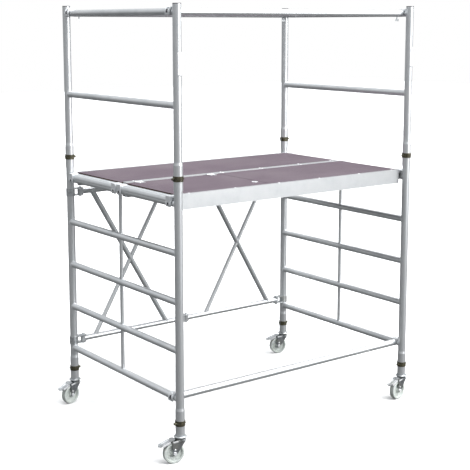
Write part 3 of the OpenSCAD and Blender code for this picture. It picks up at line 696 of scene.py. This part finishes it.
def hatch_details():
    """Rivets in the hinge leaves, a bezel round the latch and a finger recess in it, drawn as dark strips of
    painted shade.
    """
    low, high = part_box("hatch_hinges")
    bm = bmesh.new()
    for x in (low.x + HINGE_HALF, high.x - HINGE_HALF):
        for dx, dy in LEAF_HOLES:
            spot = (x + dx * MM, high.y - KNUCKLE_R - dy * MM, BOARD_TOP + LEAF_T)
            rivet(bm, spot, UP, 4 * MM, 2.4 * MM)
    finish_mesh(bm, "hatch_hinge_rivets", MATERIALS["bright_zinc_and_painted_highlight"], "hatch")

    x, y, _ = JOINTS["hatch_latch_turn"]["pos_m"]

    def round_latch(turn, radius, lift):
        return Vector((x + math.cos(turn) * radius, y + math.sin(turn) * radius, BOARD_TOP + lift))

    bm = bmesh.new()
    steps = 40
    turns = [2 * math.pi * i / steps for i in range(steps)]
    ring = [round_latch(t, BEZEL_R, 0.6 * MM) for t in turns]
    outward = [Vector((math.cos(t), math.sin(t), 0)) for t in turns]
    ring_sweep(bm, ring, outward, [1.9 * MM] * steps, 8)
    finish_mesh(bm, "hatch_latch_bezel", MATERIALS["bright_zinc_and_painted_highlight"], "hatch")

    # Painted shade: dark strips stand in for the shadowed finger recess.
    bm = bmesh.new()
    steps = 12
    for start in (math.pi, 0):
        arc = [
            math.radians(-RECESS_HALF_TURN + 2 * RECESS_HALF_TURN * i / steps) + start
            for i in range(steps + 1)
        ]
        points = [round_latch(t, RECESS_R, 0.25 * MM) for t in arc]
        strip_sweep(bm, points, [UP] * len(points), 7.5 * MM, 0.9 * MM, 0.5)
    finish_mesh(bm, "hatch_latch_recess_shade", MATERIALS["plastic"], "hatch_latch")


# ------------------------------------------------------------------ stickers and small parts of the frames

# Heights of each label's edges, the turn it covers in degrees, its lift off the post and its thickness
LABEL_Z = {"left": (2191 * MM, 2320 * MM), "right": (2198 * MM, 2324 * MM)}
LABEL_TURN = (-118, -20)
LABEL_LIFT, LABEL_RIPPLE, LABEL_T = 0.22 * MM, 0.12 * MM, 0.18 * MM
# The lug under the left frame's deck rung
LUG_Y, LUG_HALF_X, LUG_HALF_Y = -75 * MM, 8 * MM, 11 * MM
LUG_DOWN, LUG_UP = 9 * MM, 2 * MM
# Middle heights of the lock bands, and where their screws sit from the post's middle
BAND_Z = (232 * MM, 1632 * MM)
BAND_SCREW_X, BAND_SCREW_Y = 27.5 * MM, 12 * MM


def stickers():
    """Blank labels wrapped round the front guard posts, turned half away to the right."""
    columns, rows = 22, 12
    turn0, turn1 = (math.radians(t) for t in LABEL_TURN)
    for name, side in SIDES.items():
        z0, z1 = LABEL_Z[name]
        centre = Vector((side * POST_X, -POST_Y, 0))
        bm = bmesh.new()
        grid = []
        for j in range(rows + 1):
            z = z0 + (z1 - z0) * j / rows
            line = []
            for i in range(columns + 1):
                t = turn0 + (turn1 - turn0) * i / columns
                lift = LABEL_LIFT + LABEL_RIPPLE * math.sin(9 * t + 37 * z) * math.sin(61 * z)
                out = Vector((math.cos(t), math.sin(t), 0)) * (POST_R + lift)
                line.append(bm.verts.new(centre + out + UP * z))
            grid.append(line)
        for low, high in zip(grid, grid[1:]):
            for i in range(columns):
                bm.faces.new([low[i], low[i + 1], high[i + 1], high[i]])
        body = name + "_frame"
        piece = finish_mesh(bm, name + "_post_label", MATERIALS["label"], body, 60)
        thick = piece.modifiers.new("thickness", "SOLIDIFY")
        thick.thickness = LABEL_T
        thick.offset = 1


def rung_lug():
    """Small stop lug welded under the deck rung of the left frame."""
    bm = bmesh.new()
    z = DECK_RUNG_Z - RUNG_R
    low = (-POST_X - LUG_HALF_X, LUG_Y - LUG_HALF_Y, z - LUG_DOWN)
    high = (-POST_X + LUG_HALF_X, LUG_Y + LUG_HALF_Y, z + LUG_UP)
    block(bm, low, high, 2.5 * MM, 3)
    finish_mesh(bm, "deck_rung_lug", MATERIALS["cast"], "left_frame")


def band_screws():
    """Small hexagon screw heads on both sides of each lock band."""
    head = [(0, 0), (0, 4.4 * MM), (2.6 * MM, 4.4 * MM), (3.4 * MM, 3.2 * MM), (3.4 * MM, 0)]
    for side_name, side in SIDES.items():
        bm = bmesh.new()
        for z in BAND_Z:
            for row in (-1, 1):
                centre = Vector((side * POST_X, row * POST_Y, z))
                for way in (-1, 1):
                    spot = centre + Vector((way * BAND_SCREW_X, row * BAND_SCREW_Y, 0))
                    lathe(bm, spot, (way, row * 0.45, 0), head, 6)
        body = side_name + "_frame"
        finish_mesh(bm, side_name + "_band_screws", MATERIALS["olive"], body)


# ------------------------------------------------------------------ castors

# A castor in its own axes: origin on the floor under the swivel, X towards the wheel
TRAIL = 42 * MM
WHEEL_R = 62.5 * MM
FORK_OUT = 24.5 * MM
CROWN_Z = 131 * MM
BAND_HEEL, BAND_TOE, BAND_CORNER = -29.5 * MM, 52 * MM, 10 * MM
FORK_RIVET_X, FORK_RIVET_Z = 40 * MM, WHEEL_R + 22 * MM
# Millimetres: radius of each ring on a wheel, its face's distance from the middle, and the bead's radius
WHEEL_RINGS = ((24, 8, 1.0), (31, 8, 1.1), (38, 8, 1.1), (44, 8, 1.0), (53.5, 17, 0.9))
PEDAL_PIN_X, PEDAL_PIN_Z = 52 * MM, 134 * MM
PEDAL_SLOPE = 21
TREAD_LIFT = 4.5 * MM
TREAD_START, TREAD_END, TIP_BAR_X = 14 * MM, 66 * MM, 76 * MM


def castor_matrix(corner):
    """Local castor axes: origin under the swivel, X towards the wheel."""
    swivel = JOINTS["swivel_" + corner]["pos_m"]
    wheel = JOINTS["wheel_" + corner]["pos_m"]
    way = math.atan2(wheel[1] - swivel[1], wheel[0] - swivel[0])
    return Matrix.Translation((swivel[0], swivel[1], 0)) @ Matrix.Rotation(way, 4, "Z")


def crown_highlight_band(bm):
    """Painted highlight: a bright strip along the rolled top edge of both fork legs, round the heel."""
    half = FORK_OUT + 0.6 * MM
    path = [Vector((x, half, 0)) for x in (BAND_TOE, BAND_TOE / 2, 0)]
    turn_centre = Vector((BAND_HEEL + BAND_CORNER, half - BAND_CORNER, 0))
    for degrees in range(90, 181, 15):
        t = math.radians(degrees)
        path.append(turn_centre + Vector((math.cos(t), math.sin(t), 0)) * BAND_CORNER)
    path += [Vector((p.x, -p.y, 0)) for p in reversed(path)]
    points = [p + UP * (CROWN_Z + (1.5 - 3.5 * max(0, p.x / BAND_TOE) ** 3) * MM) for p in path]
    strip_sweep(bm, points, [UP] * len(points), 2.4 * MM, 9.5 * MM, 0.5)


def axle_washers(bm):
    """A rivet head and the axle washer on each fork leg."""
    washer = [
        (0, 0), (0, 10.4 * MM), (0.6 * MM, 10.4 * MM),
        (1.5 * MM, 9.6 * MM), (1.9 * MM, 8.6 * MM), (1.9 * MM, 0),
    ]
    for way in (-1, 1):
        rivet(bm, (FORK_RIVET_X, way * FORK_OUT, FORK_RIVET_Z), (0, way, 0), 5 * MM, 3 * MM)
        lathe(bm, (TRAIL, way * FORK_OUT, WHEEL_R), (0, way, 0), washer, 28)


def wheel_rings(bm):
    """Faint raised rings on both faces of the wheel."""
    steps = 72
    turns = [2 * math.pi * i / steps for i in range(steps)]
    outward = [Vector((math.cos(t), 0, math.sin(t))) for t in turns]
    for way in (-1, 1):
        for radius, face, bead in WHEEL_RINGS:
            centre = Vector((TRAIL, way * face * MM, WHEEL_R))
            ring_sweep(bm, [centre + out * radius * MM for out in outward], outward, [bead * MM] * steps, 6)


def pedal_highlight_edges(bm):
    """Pressed edges of the brake pedal, raised ribs on its tread and a bar at its tip, bright as painted
    highlight.
    """
    steps = 12
    run = [TREAD_START + (TREAD_END - TREAD_START) * i / steps for i in range(steps + 1)]
    bars = (
        (run, 20.9, -2.2, 2.6, 12, 0.5),
        (run, 17.4, 2.4, 7, 2.8, 0.4),
        (run[1:-1], 8.5, 3.2, 3, 1.8, 0.5),
    )
    for way in (-1, 1):
        for places, y, z, width, height, bevel in bars:
            points = [Vector((x, way * y * MM, z * MM)) for x in places]
            strip_sweep(bm, points, [UP] * len(points), width * MM, height * MM, bevel)
    points = [Vector((TIP_BAR_X, y * MM, 1.6 * MM)) for y in (-19, -15, -8, 0, 8, 15, 19)]
    strip_sweep(bm, points, [UP] * len(points), 3.6 * MM, 5.6 * MM, 0.5)
    slope = Matrix.Rotation(math.radians(PEDAL_SLOPE), 4, "Y")
    pin = Matrix.Translation((PEDAL_PIN_X, 0, PEDAL_PIN_Z))
    bmesh.ops.transform(bm, verts=bm.verts, matrix=pin @ slope @ Matrix.Translation((0, 0, TREAD_LIFT)))


def castor_details():
    """Builds each group of castor pieces in the castor's own axes and sets it at each corner."""
    parts = (
        ("crown_highlight_band", crown_highlight_band, "bright_zinc_and_painted_highlight", "castor_", "zinc"),
        ("axle_washers", axle_washers, "bright_zinc_and_painted_highlight", "castor_", "zinc"),
        ("wheel_rings", wheel_rings, "nylon", "wheel_", "wheel_nylon"),
        ("pedal_highlight_edges", pedal_highlight_edges, "bright_zinc_and_painted_highlight", "pedal_", "zinc"),
    )
    for corner in CORNERS:
        for name, build, material, body, slot in parts:
            bm = bmesh.new()
            build(bm)
            bmesh.ops.transform(bm, verts=bm.verts, matrix=castor_matrix(corner))
            finish_mesh(bm, name + "_" + corner, MATERIALS[material], body + corner)


# ------------------------------------------------------------------ light, floor and camera

# Ray direction from straight down (0) to straight up (1), and the world's light there
WORLD_LIGHT = [(0.30, 0.16), (0.47, 0.30), (0.56, 0.58), (1.0, 1.0)]
FLOOR_SIZE = 60
EYE = (-4.129, -5.436, 2.471)
EYE_DOWN, EYE_TURN = 8.73, -37.0
LENS, SENSOR, SHIFT_Y = 81.8, 36, -0.1


def area_light(name, place, target, size, watts):
    """Round soft light at a place, aimed at a target."""
    data = bpy.data.lights.new(name, "AREA")
    data.shape = "DISK"
    data.size = size
    data.energy = watts
    lamp = bpy.data.objects.new(name, data)
    lamp.location = place
    lamp.rotation_euler = (Vector(target) - Vector(place)).to_track_quat("-Z", "Y").to_euler()
    bpy.context.scene.collection.objects.link(lamp)


def sun_light(name, direction, angle, strength):
    """Sun with a wide disc, so its shadows are soft. The angle is in degrees."""
    data = bpy.data.lights.new(name, "SUN")
    data.angle = math.radians(angle)
    data.energy = strength
    lamp = bpy.data.objects.new(name, data)
    lamp.rotation_euler = Vector(direction).to_track_quat("-Z", "Y").to_euler()
    bpy.context.scene.collection.objects.link(lamp)


def studio():
    """White surroundings. The light on the object is softer from the sides and dim from below."""
    world = bpy.data.worlds.new("studio")
    bpy.context.scene.world = world
    world.use_nodes = True
    tree = world.node_tree
    light = tree.nodes["Background"]
    white = tree.nodes.new("ShaderNodeBackground")
    white.inputs["Color"].default_value = (1, 1, 1, 1)
    height = tree.nodes.new("ShaderNodeSeparateXYZ")
    tree.links.new(tree.nodes.new("ShaderNodeTexCoord").outputs["Generated"], height.inputs["Vector"])
    level = tree.nodes.new("ShaderNodeMapRange")
    level.inputs["From Min"].default_value = -1
    tree.links.new(height.outputs["Z"], level.inputs["Value"])
    ramp = tree.nodes.new("ShaderNodeValToRGB")
    tree.links.new(level.outputs["Result"], ramp.inputs["Fac"])
    while len(ramp.color_ramp.elements) < len(WORLD_LIGHT):
        ramp.color_ramp.elements.new(0.5)
    for element, (position, tone) in zip(ramp.color_ramp.elements, WORLD_LIGHT):
        element.position = position
        element.color = (0.98 * tone, tone, 1.02 * tone, 1)
    tree.links.new(ramp.outputs["Color"], light.inputs["Color"])
    path = tree.nodes.new("ShaderNodeLightPath")
    either = tree.nodes.new("ShaderNodeMixShader")
    tree.links.new(path.outputs["Is Camera Ray"], either.inputs["Fac"])
    tree.links.new(light.outputs["Background"], either.inputs[1])
    tree.links.new(white.outputs["Background"], either.inputs[2])
    tree.links.new(either.outputs["Shader"], tree.nodes["World Output"].inputs["Surface"])

    bpy.context.scene.view_settings.view_transform = "Standard"
    sun_light("overhead", direction=(-0.45, 0.55, -1), angle=75, strength=5.2)
    area_light("key", place=(3.5, -7.0, 3.2), target=(0, 0, 1.2), size=4.5, watts=330)
    bpy.ops.mesh.primitive_plane_add(size=FLOOR_SIZE, location=(0, 0, 0))
    floor = bpy.context.active_object
    floor.name = "floor"
    floor.visible_diffuse = False
    floor.visible_glossy = False
    floor.data.materials.append(floor_paint("floor_paint"))


def camera():
    """Camera in front on the left, level with the guard, turned down a little."""
    data = bpy.data.cameras.new("camera")
    data.lens = LENS
    data.sensor_width = SENSOR
    data.shift_y = SHIFT_Y
    eye = bpy.data.objects.new("camera", data)
    eye.location = EYE
    eye.rotation_euler = (math.radians(90 - EYE_DOWN), 0, math.radians(EYE_TURN))
    bpy.context.scene.collection.objects.link(eye)
    bpy.context.scene.camera = eye


camera()
studio()
dress_cad_nodes()
frame_welds()
gate_welds()
nose_trims()
deck_claws()
rail_claws()
rim_rivets()
hatch_details()
stickers()
rung_lug()
band_screws()
castor_details()
